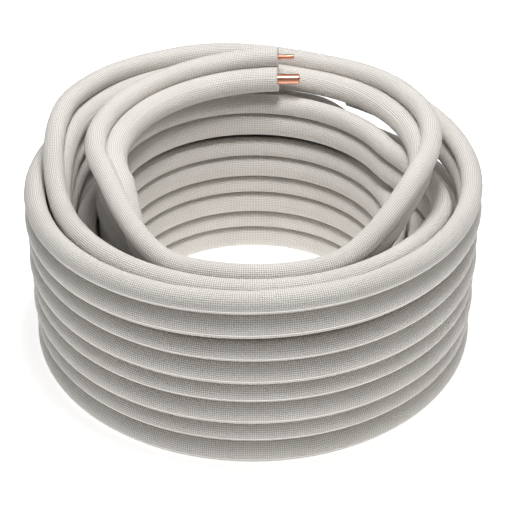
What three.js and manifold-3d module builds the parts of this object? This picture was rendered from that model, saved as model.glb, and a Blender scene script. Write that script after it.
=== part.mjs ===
// Pair coil of insulated copper line: two copper pipes, each in a foam sleeve, the two sleeves side by side,
// wound as one pair into a low coil that lies flat on the floor. Millimetres, +Z up, the front faces -Y.
// The pair starts at a raised free end on the inside of the coil and finishes at a raised end on the outside.
import * as THREE from 'three';
import Module from 'manifold-3d';

const kernel = await Module();
kernel.setup();
const { Manifold, Mesh } = kernel;

// Pipes and sleeves.
const LIQUID_PIPE_OD = 6.35;
const SUCTION_PIPE_OD = 12.7;
const PIPE_WALL = 1.0;
const FOAM_WALL = 9.0;
const FIT_GAP = 0.4;
// Sleeves bear on each other along their flats; this much stays free where the pair climbs and the flats twist.
const CLIMB_GAP = 0.4;

const LIQUID_SLEEVE_OD = LIQUID_PIPE_OD + 2 * FOAM_WALL;
const SUCTION_SLEEVE_OD = SUCTION_PIPE_OD + 2 * FOAM_WALL;
// Winding tension squashes the larger sleeve to this width between its neighbours.
const SUCTION_SLEEVE_WIDTH = 27.2;
// From the middle of the larger sleeve to the middle of the smaller one lying on it.
const PAIR_SPACING = SUCTION_SLEEVE_OD / 2 + CLIMB_GAP + LIQUID_SLEEVE_OD / 2;

// The coil: layers count outwards from the inside, levels count up from the floor.
const INNER_LAYER_RADIUS = 173;
// Left free between the squashed sleeves of neighbouring layers.
const LAYER_GAP = 0.8;
const LAYER_PITCH = SUCTION_SLEEVE_WIDTH + LAYER_GAP;
const LEVEL_HEIGHT = SUCTION_SLEEVE_OD + LIQUID_SLEEVE_OD + 2 * CLIMB_GAP;
const LEVELS = 4;
const TOP_LEVEL = LEVELS - 1;
const STATIONS_PER_TURN = 16;
const FULL_TURN = 360;
const STATION_ANGLE = FULL_TURN / STATIONS_PER_TURN;
// An end closer to a station than this share of the spacing takes that station's place.
const END_CLEARANCE = 0.2;
const SLEEVE_SIDES = 8;
const PIPE_SIDES = 6;

// The two ends.
const INNER_END_ANGLE = 79;
const INNER_END_RAISE = 20;
const OUTER_END_ANGLE = 60;
const OUTER_END_RAISE = 22;
const INNER_STUBS = { liquid: 20, suction: 27 };
const OUTER_STUBS = { liquid: 13, suction: 15 };

// How the loose turns on top lie: raised off their level and inset towards the middle in mm, rolled in degrees.
const LOOSE_TOP = 7;
const INNER_TIP = { raise: INNER_END_RAISE, inset: 8, roll: 32, square: 1 };
const INNER_LOOP_LEFT = { raise: 10, inset: 14, roll: 52 };
const INNER_LOOP_FRONT = { raise: 9, inset: 10, roll: 46 };
const LAID_DOWN = { raise: 1 };
const TOP_LOOP_START = { raise: 7, inset: 4, roll: 14 };
const TOP_LOOP_RIGHT = { raise: 9, inset: 6, roll: 34 };
const TOP_LOOP_BACK = { raise: 4, roll: 54 };
const TOP_LOOP_OUTWARD = { roll: 48 };
const TOP_LOOP_LEFT = { raise: 3, roll: 22 };

// Sectors of the circle where the pair changes layer or level, in degrees round the coil from +X.
const CHANGE = 2 * STATION_ANGLE;
const UNDERPASS = FULL_TURN - STATION_ANGLE;
const INNER_HANDOVER = 1 * STATION_ANGLE;
const OUTER_RISE = 3 * STATION_ANGLE;
const SECOND_RISE = 5 * STATION_ANGLE;
const OUTER_SHIFT = 5 * STATION_ANGLE;
const INNER_SHIFT = 7 * STATION_ANGLE;
const THIRD_DROP = 7 * STATION_ANGLE;
const INNER_DROP = 9 * STATION_ANGLE;
const OUTER_LOOP_LIFT = 9 * STATION_ANGLE;
const INNER_LOOP_RISE = 13 * STATION_ANGLE;

// The winding, as waypoints from the inner end to the outer end.
const waypoints = [];
let turn = 0;

function waypoint(angle, layer, level, { raise = 0, inset = 0, roll = 0, square = 0 } = {}) {
  waypoints.push({ angle: turn * FULL_TURN + angle, layer, level, raise, inset, roll, square });
}

// Holds the place reached so far up to the start of a sector, then takes up the new place across it.
function change(start, layer, level) {
  const last = waypoints.at(-1);
  while (turn * FULL_TURN + start < last.angle) {
    turn += 1;
  }
  waypoint(start, last.layer, last.level);
  waypoint(start + CHANGE, layer, level);
}

function windLoopsOnTop() {
  waypoint(INNER_END_ANGLE, 1, LEVELS, INNER_TIP);
  waypoint(INNER_SHIFT, 1, LEVELS, INNER_LOOP_LEFT);
  waypoint(INNER_DROP, 1, LEVELS, INNER_LOOP_FRONT);
  waypoint(INNER_DROP + CHANGE, 2, TOP_LEVEL, LAID_DOWN);
  waypoint(INNER_LOOP_RISE, 2, TOP_LEVEL);
  waypoint(UNDERPASS, 2, LEVELS, TOP_LOOP_START);
  waypoint(UNDERPASS + CHANGE, 2, LEVELS, TOP_LOOP_RIGHT);
  turn += 1;
  waypoint(OUTER_RISE, 2, LEVELS, TOP_LOOP_BACK);
  waypoint(OUTER_RISE + CHANGE, 3, LEVELS, TOP_LOOP_OUTWARD);
  waypoint(THIRD_DROP, 3, LEVELS, TOP_LOOP_LEFT);
  waypoint(THIRD_DROP + CHANGE, 3, TOP_LEVEL, LAID_DOWN);
}

function windLayersOneAndTwo() {
  waypoint(UNDERPASS, 3, TOP_LEVEL);
  waypoint(UNDERPASS + CHANGE, 1, TOP_LEVEL, { raise: LOOSE_TOP });
  turn += 1;
  waypoint(INNER_DROP, 1, TOP_LEVEL, { raise: LOOSE_TOP });
  waypoint(INNER_DROP + CHANGE, 1, TOP_LEVEL - 1);
  for (let level = TOP_LEVEL - 2; level >= 0; level -= 1) {
    change(INNER_DROP, 1, level);
  }
  change(INNER_SHIFT, 2, 0);
  for (let level = 1; level < TOP_LEVEL; level += 1) {
    change(SECOND_RISE, 2, level);
  }
  change(INNER_HANDOVER, 2, TOP_LEVEL);
}

function windLayersThreeAndFour() {
  change(OUTER_RISE, 3, TOP_LEVEL);
  for (let level = TOP_LEVEL - 1; level >= 0; level -= 1) {
    change(THIRD_DROP, 3, level);
  }
  change(OUTER_SHIFT, 4, 0);
  for (let level = 1; level <= TOP_LEVEL; level += 1) {
    change(OUTER_RISE, 4, level);
  }
  waypoint(OUTER_LOOP_LIFT, 4, TOP_LEVEL);
  waypoint(OUTER_LOOP_LIFT + 2 * CHANGE, 4, TOP_LEVEL, { raise: LOOSE_TOP });
  turn += 1;
  waypoint(OUTER_END_ANGLE, 4, TOP_LEVEL, { raise: OUTER_END_RAISE, square: 1 });
}

windLoopsOnTop();
windLayersOneAndTwo();
windLayersThreeAndFour();

const START_ANGLE = waypoints[0].angle;
const FINISH_ANGLE = waypoints.at(-1).angle;

// Between waypoints the pair eases out of one place and into the next; at its two free ends it keeps its slope.
function ease(share, next) {
  if (next === 1) {
    return 1 - (1 - share) ** 2;
  }
  if (next === waypoints.length - 1) {
    return share ** 2;
  }
  return share * share * (3 - 2 * share);
}

// Where the pair is at one angle along the winding: the values of the waypoints on both sides, eased across.
function placeAt(angle) {
  const found = waypoints.findIndex((point) => point.angle > angle);
  const next = found === -1 ? waypoints.length - 1 : Math.max(found, 1);
  const before = waypoints[next - 1];
  const after = waypoints[next];
  const share = ease((angle - before.angle) / (after.angle - before.angle), next);
  const mix = (key) => THREE.MathUtils.lerp(before[key], after[key], share);
  return {
    radius: INNER_LAYER_RADIUS + LAYER_PITCH * (mix('layer') - 1) - mix('inset'),
    height: LEVEL_HEIGHT * mix('level') + SUCTION_SLEEVE_OD / 2 + mix('raise'),
    roll: THREE.MathUtils.degToRad(mix('roll')),
    square: mix('square'),
  };
}

// Middle of the larger sleeve at one angle along the winding.
function middleAt(angle) {
  const place = placeAt(angle);
  const turned = THREE.MathUtils.degToRad(angle);
  return new THREE.Vector3(place.radius * Math.cos(turned), place.radius * Math.sin(turned), place.height);
}

// The pair's own directions at one angle: along it, out across it and up through both sleeves. In the packed
// coil they stand on the radius and upright; near the free ends they turn square to the path and lean over.
function directionsAt(angle) {
  const halfDegree = 0.5;
  const place = placeAt(angle);
  const turned = THREE.MathUtils.degToRad(angle);
  const along = middleAt(angle + halfDegree).sub(middleAt(angle - halfDegree)).normalize();
  const radial = new THREE.Vector3(Math.cos(turned), Math.sin(turned), 0);
  radial.addScaledVector(along, -radial.dot(along) * place.square).normalize();
  const squareUp = new THREE.Vector3().crossVectors(radial, along).normalize();
  const upright = new THREE.Vector3(0, 0, 1).lerp(squareUp, place.square).normalize();
  const [leanOut, leanUp] = [Math.sin(place.roll), Math.cos(place.roll)];
  const across = radial.clone().multiplyScalar(leanUp).addScaledVector(upright, -leanOut);
  const up = radial.clone().multiplyScalar(leanOut).addScaledVector(upright, leanUp);
  return { along, across, up };
}

// Stations sit at the same angles in every turn, so the flats of neighbouring turns lie side by side.
function stationAngles() {
  const angles = [START_ANGLE];
  const first = Math.ceil(START_ANGLE / STATION_ANGLE + END_CLEARANCE);
  const last = Math.floor(FINISH_ANGLE / STATION_ANGLE - END_CLEARANCE);
  for (let index = first; index <= last; index += 1) {
    angles.push(index * STATION_ANGLE);
  }
  angles.push(FINISH_ANGLE);
  return angles;
}

// The path of one sleeve or pipe, a given spacing up from the middle of the larger sleeve. Extra length beyond
// the two ends carries on straight.
class WoundPath extends THREE.Curve {
  constructor(spacing, extraAtInner, extraAtOuter) {
    super();
    this.points = [];
    this.frames = { tangents: [], normals: [], binormals: [] };
    for (const angle of stationAngles()) {
      const { along, across, up } = directionsAt(angle);
      this.points.push(middleAt(angle).addScaledVector(up, spacing));
      this.frames.tangents.push(along);
      this.frames.normals.push(across);
      this.frames.binormals.push(up.negate());
    }
    this.extend(0, -extraAtInner);
    this.extend(this.points.length - 1, extraAtOuter);
  }

  extend(index, extra) {
    if (extra === 0) {
      return;
    }
    const along = this.frames.tangents[index].clone().multiplyScalar(extra);
    const point = this.points[index].clone().add(along);
    const place = extra < 0 ? 0 : this.points.length;
    this.points.splice(place, 0, point);
    for (const list of Object.values(this.frames)) {
      list.splice(place, 0, list[index].clone());
    }
  }

  // The same path seen in a mirror that stands on the X axis.
  mirrored() {
    const across = new THREE.Vector3(1, -1, 1);
    const reflected = new WoundPath(0, 0, 0);
    reflected.points = this.points.map((point) => point.clone().multiply(across));
    for (const [key, list] of Object.entries(this.frames)) {
      reflected.frames[key] = list.map((direction) => direction.clone().multiply(across));
    }
    reflected.frames.binormals.forEach((down) => down.negate());
    return reflected;
  }

  get steps() {
    return this.points.length - 1;
  }

  getSpacedPoints() {
    return this.points;
  }

  computeFrenetFrames() {
    return this.frames;
  }
}

// Eight-sided ring of the given width and height. All sleeves share the width of the flats on top and below,
// so that the flats of two sleeves lying on each other stay side by side where the pair climbs.
const FLAT_SHARE = Math.tan(Math.PI / SLEEVE_SIDES);
const SLEEVE_FLAT = SUCTION_SLEEVE_WIDTH * FLAT_SHARE;

function sleeveRing(width, height) {
  const [reachOut, reachUp] = [width / 2, height / 2];
  const [flatOut, flatUp] = [SLEEVE_FLAT / 2, reachUp * FLAT_SHARE];
  const corner = [[reachOut, flatUp], [flatOut, reachUp], [-flatOut, reachUp], [-reachOut, flatUp]];
  const upper = corner.map(([out, up]) => new THREE.Vector2(out, up));
  const lower = corner.map(([out, up]) => new THREE.Vector2(-out, -up));
  return [...upper, ...lower];
}

// Six-sided ring whose flats touch a circle of the given diameter.
function pipeRing(diameter) {
  const reach = diameter / 2 / Math.cos(Math.PI / PIPE_SIDES);
  const points = [];
  for (let side = 0; side < PIPE_SIDES; side += 1) {
    const turned = ((side + 0.5) / PIPE_SIDES) * 2 * Math.PI;
    points.push(new THREE.Vector2(reach * Math.cos(turned), reach * Math.sin(turned)));
  }
  return points;
}

function sweep(path, outer, bore) {
  const shape = new THREE.Shape(outer);
  if (bore) {
    shape.holes.push(new THREE.Path(bore));
  }
  return new THREE.ExtrudeGeometry(shape, { steps: path.steps, extrudePath: path });
}

function toSolid(geometry) {
  const properties = new Float32Array(geometry.attributes.position.array);
  const corners = new Uint32Array(properties.length / 3);
  for (let corner = 0; corner < corners.length; corner += 1) {
    corners[corner] = corner;
  }
  const mesh = new Mesh({ numProp: 3, vertProperties: properties, triVerts: corners });
  mesh.merge();
  return new Manifold(mesh);
}

function toGeometry(solid) {
  const mesh = solid.getMesh();
  const geometry = new THREE.BufferGeometry();
  geometry.setAttribute('position', new THREE.BufferAttribute(new Float32Array(mesh.vertProperties), 3));
  geometry.setIndex(new THREE.BufferAttribute(new Uint32Array(mesh.triVerts), 1));
  return geometry;
}

// A sweep whose sides are split along the other diagonal: made in the mirror and mirrored back. Two surfaces
// that face each other, one from each kind of sweep, stay level with each other where the pair twists.
function sweepCounter(path, outer, bore) {
  return toSolid(sweep(path.mirrored(), outer, bore)).mirror([0, 1, 0]);
}

// A straight plug along the stub at one end of a pipe, sticking out past the tip, to cut the bore with.
function borePlug(path, index, inward, depth, diameter) {
  const past = 5;
  const neighbour = path.points[index + inward];
  const tangent = neighbour.clone().sub(path.points[index]).normalize();
  const plug = new WoundPath(0, 0, 0);
  plug.points = [-past, depth].map((along) => path.points[index].clone().addScaledVector(tangent, along));
  if (inward < 0) {
    plug.points.reverse();
  }
  for (const key of Object.keys(plug.frames)) {
    plug.frames[key] = [path.frames[key][index], path.frames[key][index]];
  }
  return toSolid(sweep(plug, pipeRing(diameter)));
}

// A pipe from its solid rod: bored along the two stubs and solid in between, where the bore can't be seen.
function boredPipe(rod, path, diameter, startStub, finishStub) {
  const bore = diameter - 2 * PIPE_WALL;
  const startBore = borePlug(path, 0, 1, startStub, bore);
  const finishBore = borePlug(path, path.steps, -1, finishStub, bore);
  return toGeometry(rod.subtract(startBore).subtract(finishBore));
}

const FOAM_LOOK = { color: 0xe9e7e1, roughness: 0.8, metalness: 0 };
const COPPER_LOOK = { color: 0xc87c55, roughness: 0.3, metalness: 1 };

const group = new THREE.Group();
group.name = 'insulated_pair_coil';

function addPiece(name, geometry, look) {
  const material = new THREE.MeshStandardMaterial({ ...look, name: `${name}_material` });
  const mesh = new THREE.Mesh(geometry, material);
  mesh.name = name;
  group.add(mesh);
}

const suctionSleevePath = new WoundPath(0, 0, 0);
const liquidSleevePath = new WoundPath(PAIR_SPACING, 0, 0);
const suctionPipePath = new WoundPath(0, INNER_STUBS.suction, OUTER_STUBS.suction);
const liquidPipePath = new WoundPath(PAIR_SPACING, INNER_STUBS.liquid, OUTER_STUBS.liquid);

const suctionRing = sleeveRing(SUCTION_SLEEVE_WIDTH, SUCTION_SLEEVE_OD);
const suctionBore = pipeRing(SUCTION_PIPE_OD + 2 * FIT_GAP);
const liquidRing = sleeveRing(LIQUID_SLEEVE_OD, LIQUID_SLEEVE_OD);
const liquidBore = pipeRing(LIQUID_PIPE_OD + 2 * FIT_GAP);

const suctionRod = sweepCounter(suctionPipePath, pipeRing(SUCTION_PIPE_OD));
const liquidRod = toSolid(sweep(liquidPipePath, pipeRing(LIQUID_PIPE_OD)));
const suctionPipe = boredPipe(
  suctionRod, suctionPipePath, SUCTION_PIPE_OD, INNER_STUBS.suction, OUTER_STUBS.suction,
);
const liquidPipe = boredPipe(
  liquidRod, liquidPipePath, LIQUID_PIPE_OD, INNER_STUBS.liquid, OUTER_STUBS.liquid,
);

addPiece('suction_line_sleeve', sweep(suctionSleevePath, suctionRing, suctionBore), FOAM_LOOK);
addPiece('liquid_line_sleeve', toGeometry(sweepCounter(liquidSleevePath, liquidRing, liquidBore)), FOAM_LOOK);
addPiece('suction_line_pipe', suctionPipe, COPPER_LOOK);
addPiece('liquid_line_pipe', liquidPipe, COPPER_LOOK);

export default group;
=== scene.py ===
"""Looks of the insulated pair coil: foam sleeves with embossed film, copper pipes, studio floor and light."""
import math
from bisect import bisect_right

import bpy
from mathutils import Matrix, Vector


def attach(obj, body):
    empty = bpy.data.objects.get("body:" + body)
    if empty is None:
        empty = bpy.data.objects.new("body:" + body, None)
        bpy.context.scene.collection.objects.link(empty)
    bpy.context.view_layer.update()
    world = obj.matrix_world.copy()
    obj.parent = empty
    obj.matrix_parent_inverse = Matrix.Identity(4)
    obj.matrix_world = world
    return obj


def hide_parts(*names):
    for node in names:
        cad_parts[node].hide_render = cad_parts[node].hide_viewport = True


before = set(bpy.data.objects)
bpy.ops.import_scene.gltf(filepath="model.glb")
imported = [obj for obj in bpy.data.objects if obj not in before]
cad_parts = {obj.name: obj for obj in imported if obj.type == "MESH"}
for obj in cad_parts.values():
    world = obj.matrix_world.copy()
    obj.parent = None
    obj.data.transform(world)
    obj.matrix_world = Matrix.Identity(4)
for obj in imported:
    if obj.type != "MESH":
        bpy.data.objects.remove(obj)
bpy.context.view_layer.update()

bl_info = {
    "name": "Insulated Pair Coil",
    "version": (1, 0, 0),
    "blender": (4, 5, 0),
    "location": "3D View > Sidebar > Pair Coil",
    "description": "Builds a coil of twin copper line in embossed foam sleeves, and a studio around it",
    "category": "Object",
}

MM = 0.001

# The winding's driving dimensions, as in the CAD part, in millimetres and degrees.
LIQUID_PIPE_OD = 6.35
SUCTION_PIPE_OD = 12.7
PIPE_WALL = 1.0
FOAM_WALL = 9.0
CLIMB_GAP = 0.4
LIQUID_SLEEVE_OD = LIQUID_PIPE_OD + 2 * FOAM_WALL
SUCTION_SLEEVE_OD = SUCTION_PIPE_OD + 2 * FOAM_WALL
PAIR_SPACING = SUCTION_SLEEVE_OD / 2 + CLIMB_GAP + LIQUID_SLEEVE_OD / 2
INNER_LAYER_RADIUS = 173
SUCTION_SLEEVE_WIDTH = 27.2
LAYER_GAP = 0.8
LAYER_PITCH = SUCTION_SLEEVE_WIDTH + LAYER_GAP
LEVEL_HEIGHT = SUCTION_SLEEVE_OD + LIQUID_SLEEVE_OD + 2 * CLIMB_GAP
LEVELS = 4
TOP_LEVEL = LEVELS - 1
FULL_TURN = 360
SECTORS_PER_TURN = 16
SECTOR = FULL_TURN / SECTORS_PER_TURN
CHANGE = 2 * SECTOR
INNER_END_ANGLE = 79
INNER_END_RAISE = 20
LOOSE_TOP = 7
OUTER_END_ANGLE = 60
OUTER_END_RAISE = 22
INNER_STUBS = {"liquid": 20, "suction": 27}
OUTER_STUBS = {"liquid": 13, "suction": 15}

# Angles round the circle at which the pair starts to change layer or level, or lies loose.
UNDERPASS = 15 * SECTOR
INNER_HANDOVER = 1 * SECTOR
OUTER_RISE = 3 * SECTOR
SECOND_RISE = 5 * SECTOR
OUTER_SHIFT = 5 * SECTOR
INNER_SHIFT = 7 * SECTOR
THIRD_DROP = 7 * SECTOR
INNER_DROP = 9 * SECTOR
OUTER_LOOP_LIFT = 9 * SECTOR
INNER_LOOP_RISE = 13 * SECTOR

# How the loose turns on top lie: raised off their level and inset towards the middle in millimetres,
# rolled in degrees, and square where the cut face has to stand across the path.
INNER_TIP = {"raised": INNER_END_RAISE, "inset": 8, "roll": 32, "square": 1}
INNER_LOOP_LEFT = {"raised": 10, "inset": 14, "roll": 52}
INNER_LOOP_FRONT = {"raised": 9, "inset": 10, "roll": 46}
LAID_DOWN = {"raised": 1}
TOP_LOOP_START = {"raised": 7, "inset": 4, "roll": 14}
TOP_LOOP_RIGHT = {"raised": 9, "inset": 6, "roll": 34}
TOP_LOOP_BACK = {"raised": 4, "roll": 54}
TOP_LOOP_OUTWARD = {"roll": 48}
TOP_LOOP_LEFT = {"raised": 3, "roll": 22}

# Foam bulges a little into the gaps that the CAD part's flats leave.
FOAM_SWELL = 0.6

# Sides of each section, and rings of points in one turn of a pipe.
SLEEVE_SIDES = 20
PIPE_SIDES = 24
PIPE_STATIONS_PER_TURN = 64

# In metres: how far each hollow end is bored, the gap round a pipe in its foam, and what counts as one point.
SLEEVE_END_DEPTH = 0.02
PIPE_END_DEPTH = 0.018
PIPE_CLEARANCE = 0.0002
WELD_DISTANCE = 1e-5

# Edges that fold more than this stay sharp.
SLEEVE_SMOOTHING = math.radians(50)
PIPE_SMOOTHING = math.radians(40)


class Winding:
    """The pair's route: waypoints of layer and level round the coil, eased from one to the next."""

    def __init__(self):
        self.points = []
        self.turn = 0
        self.loops_on_top()
        self.layers_one_and_two()
        self.layers_three_and_four()
        self.angles = [point["angle"] for point in self.points]
        self.start = self.angles[0]
        self.finish = self.angles[-1]

    def waypoint(self, angle, layer, level, raised=0, inset=0, roll=0, square=0):
        self.points.append({
            "angle": self.turn * FULL_TURN + angle, "layer": layer, "level": level,
            "raised": raised, "inset": inset, "roll": roll, "square": square,
        })

    def change(self, start, layer, level):
        """Holds the last place up to the start angle, then takes up the new one over two sectors."""
        last = self.points[-1]
        while self.turn * FULL_TURN + start < last["angle"]:
            self.turn += 1
        self.waypoint(start, last["layer"], last["level"])
        self.waypoint(start + CHANGE, layer, level)

    def loops_on_top(self):
        self.waypoint(INNER_END_ANGLE, 1, LEVELS, **INNER_TIP)
        self.waypoint(INNER_SHIFT, 1, LEVELS, **INNER_LOOP_LEFT)
        self.waypoint(INNER_DROP, 1, LEVELS, **INNER_LOOP_FRONT)
        self.waypoint(INNER_DROP + CHANGE, 2, TOP_LEVEL, **LAID_DOWN)
        self.waypoint(INNER_LOOP_RISE, 2, TOP_LEVEL)
        self.waypoint(UNDERPASS, 2, LEVELS, **TOP_LOOP_START)
        self.waypoint(UNDERPASS + CHANGE, 2, LEVELS, **TOP_LOOP_RIGHT)
        self.turn += 1
        self.waypoint(OUTER_RISE, 2, LEVELS, **TOP_LOOP_BACK)
        self.waypoint(OUTER_RISE + CHANGE, 3, LEVELS, **TOP_LOOP_OUTWARD)
        self.waypoint(THIRD_DROP, 3, LEVELS, **TOP_LOOP_LEFT)
        self.waypoint(THIRD_DROP + CHANGE, 3, TOP_LEVEL, **LAID_DOWN)

    def layers_one_and_two(self):
        self.waypoint(UNDERPASS, 3, TOP_LEVEL)
        self.waypoint(UNDERPASS + CHANGE, 1, TOP_LEVEL, raised=LOOSE_TOP)
        self.turn += 1
        self.waypoint(INNER_DROP, 1, TOP_LEVEL, raised=LOOSE_TOP)
        self.waypoint(INNER_DROP + CHANGE, 1, TOP_LEVEL - 1)
        for level in range(TOP_LEVEL - 2, -1, -1):
            self.change(INNER_DROP, 1, level)
        self.change(INNER_SHIFT, 2, 0)
        for level in range(1, TOP_LEVEL):
            self.change(SECOND_RISE, 2, level)
        self.change(INNER_HANDOVER, 2, TOP_LEVEL)

    def layers_three_and_four(self):
        self.change(OUTER_RISE, 3, TOP_LEVEL)
        for level in range(TOP_LEVEL - 1, -1, -1):
            self.change(THIRD_DROP, 3, level)
        self.change(OUTER_SHIFT, 4, 0)
        for level in range(1, TOP_LEVEL + 1):
            self.change(OUTER_RISE, 4, level)
        self.waypoint(OUTER_LOOP_LIFT, 4, TOP_LEVEL)
        self.waypoint(OUTER_LOOP_LIFT + 2 * CHANGE, 4, TOP_LEVEL, raised=LOOSE_TOP)
        self.turn += 1
        self.waypoint(OUTER_END_ANGLE, 4, TOP_LEVEL, raised=OUTER_END_RAISE, square=1)

    def place(self, angle):
        """Radius and height of the larger sleeve's middle, in metres, and the roll and squareness there."""
        after = min(max(bisect_right(self.angles, angle), 1), len(self.points) - 1)
        first, second = self.points[after - 1], self.points[after]
        share = (angle - first["angle"]) / (second["angle"] - first["angle"])
        if after == 1:
            share = 1 - (1 - share) ** 2
        elif after == len(self.points) - 1:
            share = share ** 2
        else:
            share = share * share * (3 - 2 * share)

        def mix(key):
            return first[key] + (second[key] - first[key]) * share

        radius = INNER_LAYER_RADIUS + LAYER_PITCH * (mix("layer") - 1) - mix("inset")
        height = LEVEL_HEIGHT * mix("level") + SUCTION_SLEEVE_OD / 2 + mix("raised")
        return radius * MM, height * MM, math.radians(mix("roll")), mix("square")

    def middle(self, angle):
        radius, height, _, _ = self.place(angle)
        turned = math.radians(angle)
        return Vector((radius * math.cos(turned), radius * math.sin(turned), height))

    def directions(self, angle):
        """The pair's own directions: along it, out across it, and up through both sleeves."""
        half_degree = 0.5
        _, _, roll, square = self.place(angle)
        turned = math.radians(angle)
        along = (self.middle(angle + half_degree) - self.middle(angle - half_degree)).normalized()
        radial = Vector((math.cos(turned), math.sin(turned), 0))
        radial = (radial - along * radial.dot(along) * square).normalized()
        upright = Vector((0, 0, 1)).lerp(radial.cross(along).normalized(), square).normalized()
        across = radial * math.cos(roll) - upright * math.sin(roll)
        up = radial * math.sin(roll) + upright * math.cos(roll)
        return along, across, up

    def stations(self, spacing, per_turn):
        """Places along one sleeve or pipe: point, along, across, up, and the length up to there."""
        first, last = self.start, self.finish
        count = round((last - first) / FULL_TURN * per_turn)
        places, length = [], 0.0
        for index in range(count + 1):
            angle = first + (last - first) * index / count
            along, across, up = self.directions(angle)
            point = self.middle(angle) + up * spacing
            if places:
                length += (point - places[-1][0]).length
            places.append((point, along, across, up, length))
        return places


WINDING = Winding()


# Shaping the tubes.

def deselect_all():
    if bpy.context.mode != "OBJECT":
        bpy.ops.object.mode_set(mode="OBJECT")
    bpy.ops.object.select_all(action="DESELECT")


def swept_tube(name, places, sides, half_width, half_height):
    """A grid primitive rolled up round a route. Its UV map runs in metres along and around the tube."""
    deselect_all()
    bpy.ops.mesh.primitive_grid_add(
        x_subdivisions=len(places) - 1, y_subdivisions=sides, size=1, calc_uvs=True)
    tube = bpy.context.object
    tube.name = tube.data.name = name
    mesh = tube.data
    around_length = math.pi * (half_width + half_height)
    for vertex in mesh.vertices:
        point, _, across, up, _ = places[round((vertex.co.x + 0.5) * (len(places) - 1))]
        turned = 2 * math.pi * (vertex.co.y + 0.5)
        vertex.co = point - across * half_width * math.cos(turned) + up * half_height * math.sin(turned)
    for loop in mesh.uv_layers.active.data:
        station = round(loop.uv.x * (len(places) - 1))
        loop.uv = (places[station][4], loop.uv.y * around_length)
    bpy.ops.object.mode_set(mode="EDIT")
    bpy.ops.mesh.select_all(action="SELECT")
    bpy.ops.mesh.remove_doubles(threshold=WELD_DISTANCE)
    bpy.ops.object.mode_set(mode="OBJECT")
    return tube


def select_open_edges():
    bpy.ops.object.mode_set(mode="EDIT")
    bpy.ops.mesh.select_mode(type="EDGE")
    bpy.ops.mesh.select_all(action="DESELECT")
    bpy.ops.mesh.select_non_manifold(extend=False)


def close_ends(tube, places, bore_radius, depth):
    """Turns both open ends inwards to a bore of the given radius and depth, and closes the bore's floor."""
    mesh = tube.data
    outside = len(mesh.polygons)
    select_open_edges()
    bpy.ops.mesh.extrude_region_move()
    bpy.ops.object.mode_set(mode="OBJECT")
    for vertex in [v for v in mesh.vertices if v.select]:
        point, along, _, _, _ = min((places[0], places[-1]), key=lambda place: (place[0] - vertex.co).length)
        spoke = vertex.co - point
        spoke -= along * spoke.dot(along)
        vertex.co = point + spoke.normalized() * bore_radius
    bpy.ops.object.mode_set(mode="EDIT")
    bpy.ops.mesh.extrude_region_move()
    bpy.ops.object.mode_set(mode="OBJECT")
    for vertex in [v for v in mesh.vertices if v.select]:
        near_start = (places[0][0] - vertex.co).length < (places[-1][0] - vertex.co).length
        point, along, _, _, _ = places[0] if near_start else places[-1]
        vertex.co += along * (depth if near_start else -depth)
    bpy.ops.object.mode_set(mode="EDIT")
    bpy.ops.mesh.edge_face_add()
    bpy.ops.mesh.select_all(action="SELECT")
    bpy.ops.mesh.normals_make_consistent(inside=False)
    bpy.ops.object.mode_set(mode="OBJECT")
    return outside


def smooth(piece, angle):
    deselect_all()
    piece.select_set(True)
    bpy.context.view_layer.objects.active = piece
    bpy.ops.object.shade_smooth_by_angle(angle=angle)


def finish_piece(piece, slot, *nodes):
    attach(piece, "root")
    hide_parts(*nodes)


# Materials.

def new_material(name):
    material = bpy.data.materials.new(name)
    material.use_nodes = True
    return material, material.node_tree.nodes, material.node_tree.links


def math_node(tree, operation, first, second=None, clamp=False):
    node = tree.nodes.new("ShaderNodeMath")
    node.operation = operation
    node.use_clamp = clamp
    for socket, value in zip(node.inputs, (first, second)):
        if value is None:
            continue
        if isinstance(value, (int, float)):
            socket.default_value = value
        else:
            tree.links.new(value, socket)
    return node.outputs[0]


# Shares of the film's colour that its squares and its paler patches give, on a scale from groove to square.
# The groove end of the scale is painted shade: darker colour in the recesses between the embossed squares.
WAFFLE_PAINTED_SHADE_SHARE = 0.85
PATCH_SHARE = 0.25
WAFFLE_DEPTH = 0.0007

# Painted shade in the pits of the cut foam's cells, as a share of the film's colour.
CELL_PIT_PAINTED_SHADE = 0.75
CELL_DEPTH = 0.0003
# Stains are drawn out along the pipe: so many to the metre along it and around it.
COPPER_STREAKS = (25, 420, 1)
STAIN_CONTRAST = 1.6
COPPER_ROUGHNESS = 0.2
STAIN_ROUGHNESS = 0.2
FLOOR_SHADE = 0.99
FLOOR_GLOW = 0.62
WORLD_STRENGTH = 0.22

WAFFLE_GROUP = "Embossed waffle"
# Above half, the tops of the embossed squares come out flat.
SQUARE_STEEPNESS = 0.8
# The film's lengthwise seam, in metres: a smooth strip with a fine line on each side. The lines sink to
# groove height, so they also take the painted shade of the grooves.
SEAM_HALF_WIDTH = 0.0016
SEAM_LINE_WIDTH = 0.0007
# Low on the outer face, as a share of the way around the sleeve.
SEAM_SHARE_AROUND = 0.555


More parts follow.
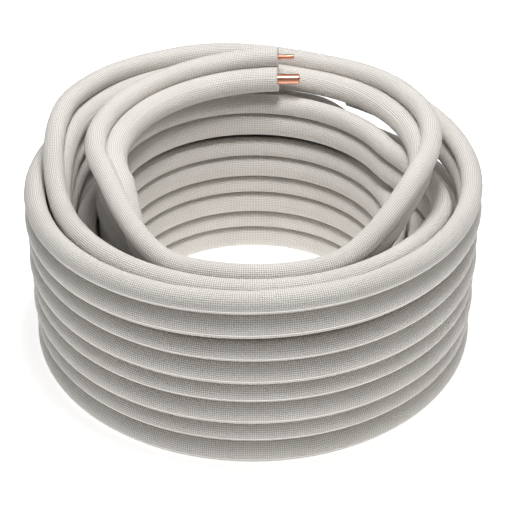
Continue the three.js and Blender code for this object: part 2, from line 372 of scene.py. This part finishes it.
def waffle_group(pitch):
    """Height of the embossed squares over the film, from a UV map in metres."""
    tree = bpy.data.node_groups.new(WAFFLE_GROUP, "ShaderNodeTree")
    tree.interface.new_socket("UV", in_out="INPUT", socket_type="NodeSocketVector")
    tree.interface.new_socket("Seam", in_out="INPUT", socket_type="NodeSocketFloat")
    tree.interface.new_socket("Height", in_out="OUTPUT", socket_type="NodeSocketFloat")
    entry = tree.nodes.new("NodeGroupInput")
    leave = tree.nodes.new("NodeGroupOutput")
    split = tree.nodes.new("ShaderNodeSeparateXYZ")
    tree.links.new(entry.outputs["UV"], split.inputs[0])
    waves = []
    for axis in ("X", "Y"):
        turned = math_node(tree, "MULTIPLY", split.outputs[axis], 2 * math.pi / pitch)
        waves.append(math_node(tree, "COSINE", turned))
    lower = math_node(tree, "MINIMUM", *waves)
    squares = math_node(tree, "MULTIPLY", math_node(tree, "ADD", lower, 1.0), SQUARE_STEEPNESS, clamp=True)
    offset = math_node(tree, "SUBTRACT", split.outputs["Y"], entry.outputs["Seam"])
    to_seam = math_node(tree, "ABSOLUTE", offset)
    beside_seam = math_node(tree, "GREATER_THAN", to_seam, SEAM_HALF_WIDTH)
    to_edge = math_node(tree, "ABSOLUTE", math_node(tree, "SUBTRACT", to_seam, SEAM_HALF_WIDTH))
    off_edge = math_node(tree, "DIVIDE", to_edge, SEAM_LINE_WIDTH, clamp=True)
    film = math_node(tree, "MAXIMUM", squares, math_node(tree, "SUBTRACT", 1.0, beside_seam))
    tree.links.new(math_node(tree, "MULTIPLY", film, off_edge), leave.inputs["Height"])
    return tree


def foam_film_material(look, seam):
    material, nodes, links = new_material("Embossed film")
    shader = nodes["Principled BSDF"]
    tree = material.node_tree
    uv = nodes.new("ShaderNodeUVMap")
    waffle = nodes.new("ShaderNodeGroup")
    waffle.node_tree = bpy.data.node_groups.get(WAFFLE_GROUP) or waffle_group(look.waffle_pitch)
    waffle.inputs["Seam"].default_value = seam
    links.new(uv.outputs["UV"], waffle.inputs["UV"])
    coordinates = nodes.new("ShaderNodeTexCoord")
    patches = nodes.new("ShaderNodeTexNoise")
    patches.inputs["Scale"].default_value = 14
    patches.inputs["Detail"].default_value = 3
    links.new(coordinates.outputs["Object"], patches.inputs["Vector"])
    # Painted shade: where the waffle is low, in the grooves and along the seam's edge lines, the colour falls
    # towards the darker groove colour.
    tint = nodes.new("ShaderNodeMix")
    tint.data_type = "RGBA"
    tint.inputs[6].default_value = (*look.film_painted_groove_shade, 1)
    tint.inputs[7].default_value = (*look.film_color, 1)
    strength = math_node(tree, "MULTIPLY", waffle.outputs["Height"], WAFFLE_PAINTED_SHADE_SHARE)
    patchiness = math_node(tree, "MULTIPLY", patches.outputs["Fac"], PATCH_SHARE)
    painted_shade_and_patches = math_node(tree, "ADD", strength, patchiness, clamp=True)
    links.new(painted_shade_and_patches, tint.inputs[0])
    links.new(tint.outputs[2], shader.inputs["Base Color"])
    shader.inputs["Roughness"].default_value = 0.55
    shader.inputs["Specular IOR Level"].default_value = 0.35
    bump = nodes.new("ShaderNodeBump")
    bump.inputs["Distance"].default_value = WAFFLE_DEPTH
    bump.inputs["Strength"].default_value = 0.9
    links.new(waffle.outputs["Height"], bump.inputs["Height"])
    links.new(bump.outputs["Normal"], shader.inputs["Normal"])
    return material


def cut_foam_material(look):
    material, nodes, links = new_material("Cut foam")
    shader = nodes["Principled BSDF"]
    coordinates = nodes.new("ShaderNodeTexCoord")
    cells = nodes.new("ShaderNodeTexVoronoi")
    cells.inputs["Scale"].default_value = 1400
    links.new(coordinates.outputs["Object"], cells.inputs["Vector"])
    # The cells' pits, low in the bump, are darkened in colour: painted shade.
    ramp = nodes.new("ShaderNodeValToRGB")
    ramp.color_ramp.elements[0].color = (*[channel * CELL_PIT_PAINTED_SHADE for channel in look.film_color], 1)
    ramp.color_ramp.elements[1].color = (*look.film_color, 1)
    links.new(cells.outputs["Distance"], ramp.inputs["Fac"])
    links.new(ramp.outputs["Color"], shader.inputs["Base Color"])
    shader.inputs["Roughness"].default_value = 0.9
    bump = nodes.new("ShaderNodeBump")
    bump.inputs["Distance"].default_value = CELL_DEPTH
    links.new(cells.outputs["Distance"], bump.inputs["Height"])
    links.new(bump.outputs["Normal"], shader.inputs["Normal"])
    return material


def copper_material(look):
    material, nodes, links = new_material("Drawn copper")
    shader = nodes["Principled BSDF"]
    tree = material.node_tree
    uv = nodes.new("ShaderNodeUVMap")
    streak = nodes.new("ShaderNodeMapping")
    streak.inputs["Scale"].default_value = COPPER_STREAKS
    links.new(uv.outputs["UV"], streak.inputs["Vector"])
    stain = nodes.new("ShaderNodeTexNoise")
    stain.inputs["Scale"].default_value = 1
    stain.inputs["Detail"].default_value = 4
    links.new(streak.outputs["Vector"], stain.inputs["Vector"])
    tint = nodes.new("ShaderNodeMix")
    tint.data_type = "RGBA"
    tint.inputs[6].default_value = (*look.copper_dark, 1)
    tint.inputs[7].default_value = (*look.copper_color, 1)
    cleanness = math_node(tree, "MULTIPLY", stain.outputs["Fac"], STAIN_CONTRAST, clamp=True)
    links.new(cleanness, tint.inputs[0])
    links.new(tint.outputs[2], shader.inputs["Base Color"])
    shader.inputs["Metallic"].default_value = 1
    uneven = math_node(tree, "MULTIPLY", stain.outputs["Fac"], STAIN_ROUGHNESS)
    rough = math_node(tree, "ADD", uneven, COPPER_ROUGHNESS)
    links.new(rough, shader.inputs["Roughness"])
    return material


def floor_material(look):
    material, nodes, links = new_material("Studio floor")
    shader = nodes["Principled BSDF"]
    coordinates = nodes.new("ShaderNodeTexCoord")
    grain = nodes.new("ShaderNodeTexNoise")
    grain.inputs["Scale"].default_value = 3
    links.new(coordinates.outputs["Object"], grain.inputs["Vector"])
    ramp = nodes.new("ShaderNodeValToRGB")
    ramp.color_ramp.elements[0].color = (*[channel * FLOOR_SHADE for channel in look.floor_color], 1)
    ramp.color_ramp.elements[1].color = (*look.floor_color, 1)
    links.new(grain.outputs["Fac"], ramp.inputs["Fac"])
    links.new(ramp.outputs["Color"], shader.inputs["Base Color"])
    shader.inputs["Roughness"].default_value = 0.9
    shader.inputs["Specular IOR Level"].default_value = 0.1
    shader.inputs["Emission Color"].default_value = (1, 1, 1, 1)
    shader.inputs["Emission Strength"].default_value = FLOOR_GLOW
    return material


# Settings that a user would change.

class CoilLook(bpy.types.PropertyGroup):
    """Colours and pattern of the coil."""

    waffle_pitch: bpy.props.FloatProperty(
        name="Waffle pitch", description="Distance between embossed squares of the film",
        default=0.0023, min=0.0005, max=0.02, subtype="DISTANCE", unit="LENGTH")
    stations_per_turn: bpy.props.IntProperty(
        name="Steps per turn", description="Rings of points in one turn of a sleeve",
        default=96, min=32, max=128)
    film_color: bpy.props.FloatVectorProperty(
        name="Film", description="Colour of the film's raised squares", default=(0.95, 0.925, 0.885),
        min=0, max=1, subtype="COLOR")
    # Painted shade: the darker colour put into the grooves between the embossed squares.
    film_painted_groove_shade: bpy.props.FloatVectorProperty(
        name="Film grooves", description="Colour between the film's squares", default=(0.50, 0.465, 0.425),
        min=0, max=1, subtype="COLOR")
    copper_color: bpy.props.FloatVectorProperty(
        name="Copper", description="Colour of clean copper", default=(0.83, 0.42, 0.29),
        min=0, max=1, subtype="COLOR")
    copper_dark: bpy.props.FloatVectorProperty(
        name="Dulled copper", description="Colour of handled copper", default=(0.46, 0.20, 0.13),
        min=0, max=1, subtype="COLOR")


class StudioLook(bpy.types.PropertyGroup):
    """Camera, floor and light."""

    elevation: bpy.props.FloatProperty(
        name="Camera elevation", description="Angle of the camera above the horizon",
        default=math.radians(34.6), min=0, max=math.radians(89), subtype="ANGLE", unit="ROTATION")
    distance: bpy.props.FloatProperty(
        name="Camera distance", description="From the camera to the point it looks at",
        default=1.62, min=0.5, max=20, subtype="DISTANCE", unit="LENGTH")
    scale: bpy.props.FloatProperty(
        name="Image scale", description="Image widths that one metre takes up at the aim point",
        default=1.569, min=0.1, max=10)
    aim_across: bpy.props.FloatProperty(
        name="Aim across", description="How far to the right of the coil's middle the camera looks",
        default=0.0054, min=-1, max=1, subtype="DISTANCE", unit="LENGTH")
    aim_height: bpy.props.FloatProperty(
        name="Aim height", description="Height of the point that the camera looks at",
        default=0.097, min=0, max=2, subtype="DISTANCE", unit="LENGTH")
    floor_color: bpy.props.FloatVectorProperty(
        name="Floor", description="Colour of the studio floor", default=(0.95, 0.95, 0.95),
        min=0, max=1, subtype="COLOR")


# Operators, one for each group of pieces and one for the stage.

def add_sleeve(name, spacing, half_width, half_height, pipe_diameter, node):
    look = bpy.context.scene.coil_look
    places = WINDING.stations(spacing, look.stations_per_turn)
    piece = swept_tube(name, places, SLEEVE_SIDES, half_width, half_height)
    outside = close_ends(piece, places, pipe_diameter / 2 + PIPE_CLEARANCE, SLEEVE_END_DEPTH)
    seam = SEAM_SHARE_AROUND * math.pi * (half_width + half_height)
    piece.data.materials.append(foam_film_material(look, seam))
    piece.data.materials.append(cut_foam_material(look))
    for polygon in piece.data.polygons:
        polygon.material_index = 0 if polygon.index < outside else 1
    smooth(piece, SLEEVE_SMOOTHING)
    finish_piece(piece, "foam", node)


class COIL_OT_add_sleeves(bpy.types.Operator):
    """Add the two foam sleeves of the pair along the whole winding"""

    bl_idname = "coil.add_sleeves"
    bl_label = "Add Foam Sleeves"

    def execute(self, context):
        suction_half = (SUCTION_SLEEVE_OD + FOAM_SWELL) / 2 * MM
        liquid_half = (LIQUID_SLEEVE_OD + FOAM_SWELL) / 2 * MM
        squeezed_half = LAYER_PITCH / 2 * MM
        add_sleeve("suction_sleeve", 0, squeezed_half, suction_half, SUCTION_PIPE_OD * MM,
                   "suction_line_sleeve")
        add_sleeve("liquid_sleeve", PAIR_SPACING * MM, liquid_half, liquid_half, LIQUID_PIPE_OD * MM,
                   "liquid_line_sleeve")
        return {"FINISHED"}


def carried_on(place, reach):
    """The place that lies straight on from an end of the route."""
    point, along, across, up, length = place
    return point + along * reach, along, across, up, length + reach


def add_pipe(name, spacing, diameter, inner_stub, outer_stub, node):
    places = WINDING.stations(spacing, PIPE_STATIONS_PER_TURN)
    inner_tip = carried_on(places[0], -inner_stub * MM)
    outer_tip = carried_on(places[-1], outer_stub * MM)
    places = [inner_tip, *places, outer_tip]
    piece = swept_tube(name, places, PIPE_SIDES, diameter / 2, diameter / 2)
    close_ends(piece, places, diameter / 2 - PIPE_WALL * MM, PIPE_END_DEPTH)
    piece.data.materials.append(copper_material(bpy.context.scene.coil_look))
    smooth(piece, PIPE_SMOOTHING)
    finish_piece(piece, "copper", node)


class COIL_OT_add_pipes(bpy.types.Operator):
    """Add the two copper pipes, with their bored stubs at both ends of the coil"""

    bl_idname = "coil.add_pipes"
    bl_label = "Add Copper Pipes"

    def execute(self, context):
        add_pipe("suction_pipe", 0, SUCTION_PIPE_OD * MM, INNER_STUBS["suction"], OUTER_STUBS["suction"],
                 "suction_line_pipe")
        add_pipe("liquid_pipe", PAIR_SPACING * MM, LIQUID_PIPE_OD * MM, INNER_STUBS["liquid"],
                 OUTER_STUBS["liquid"], "liquid_line_pipe")
        return {"FINISHED"}


FLOOR_SIZE = 60
FLOOR_GAP = 0.0006
# Name, place, aim point, width in metres and power in watts of each soft light.
STUDIO_LIGHTS = (
    ("Key", (0.5, 0.8, 2.3), (0, 0, 0.1), 1.2, 11.5),
    ("Overhead", (0.0, -0.1, 1.2), (0, 0.2, 0.1), 0.4, 10),
    ("Fill", (2.4, -1.0, 1.0), (0, 0, 0.1), 1.4, 3.5),
)


def add_area_light(name, place, aim, size, power):
    bpy.ops.object.light_add(type="AREA", location=place)
    lamp = bpy.context.object
    lamp.name = name
    lamp.data.shape = "DISK"
    lamp.data.size = size
    lamp.data.energy = power
    lamp.rotation_mode = "QUATERNION"
    lamp.rotation_quaternion = (Vector(aim) - Vector(place)).to_track_quat("-Z", "Y")


class COIL_OT_set_stage(bpy.types.Operator):
    """Set the pale floor, the soft lights and the camera around the coil"""

    bl_idname = "coil.set_stage"
    bl_label = "Set Studio Stage"

    def execute(self, context):
        look = context.scene.studio_look
        deselect_all()
        bpy.ops.mesh.primitive_plane_add(size=FLOOR_SIZE, location=(0, 0, -FLOOR_GAP))
        floor = context.object
        floor.name = "floor"
        floor.data.materials.append(floor_material(look))
        for name, place, aim, size, power in STUDIO_LIGHTS:
            add_area_light(name, place, aim, size, power)
        world = bpy.data.worlds.new("Studio world")
        context.scene.world = world
        world.use_nodes = True
        world.node_tree.nodes["Background"].inputs["Color"].default_value = (1, 1, 1, 1)
        world.node_tree.nodes["Background"].inputs["Strength"].default_value = WORLD_STRENGTH
        context.scene.view_settings.view_transform = "Standard"
        self.add_camera(context, look)
        return {"FINISHED"}

    def add_camera(self, context, look):
        aim = Vector((look.aim_across, 0, look.aim_height))
        back = Vector((0, -math.cos(look.elevation), math.sin(look.elevation)))
        bpy.ops.object.camera_add(location=aim + back * look.distance)
        camera = context.object
        camera.rotation_mode = "QUATERNION"
        camera.rotation_quaternion = (-back).to_track_quat("-Z", "Y")
        camera.data.lens = camera.data.sensor_width * look.scale * look.distance
        camera.data.clip_end = 100
        context.scene.camera = camera


class COIL_PT_panel(bpy.types.Panel):
    """Sidebar panel with the coil's pieces and settings."""

    bl_idname = "COIL_PT_panel"
    bl_label = "Pair Coil"
    bl_space_type = "VIEW_3D"
    bl_region_type = "UI"
    bl_category = "Pair Coil"

    def draw(self, context):
        layout = self.layout
        for settings in (context.scene.coil_look, context.scene.studio_look):
            for name in settings.bl_rna.properties.keys():
                if name not in ("rna_type", "name"):
                    layout.prop(settings, name)
        for operator in (COIL_OT_add_sleeves, COIL_OT_add_pipes, COIL_OT_set_stage):
            layout.operator(operator.bl_idname)


CLASSES = (CoilLook, StudioLook, COIL_OT_add_sleeves, COIL_OT_add_pipes, COIL_OT_set_stage, COIL_PT_panel)


def register():
    for cls in CLASSES:
        bpy.utils.register_class(cls)
    bpy.types.Scene.coil_look = bpy.props.PointerProperty(type=CoilLook)
    bpy.types.Scene.studio_look = bpy.props.PointerProperty(type=StudioLook)


def unregister():
    del bpy.types.Scene.studio_look
    del bpy.types.Scene.coil_look
    for cls in reversed(CLASSES):
        bpy.utils.unregister_class(cls)


def main():
    register()
    bpy.ops.coil.add_sleeves()
    bpy.ops.coil.add_pipes()
    bpy.ops.coil.set_stage()


if __name__ == "__main__":
    main()
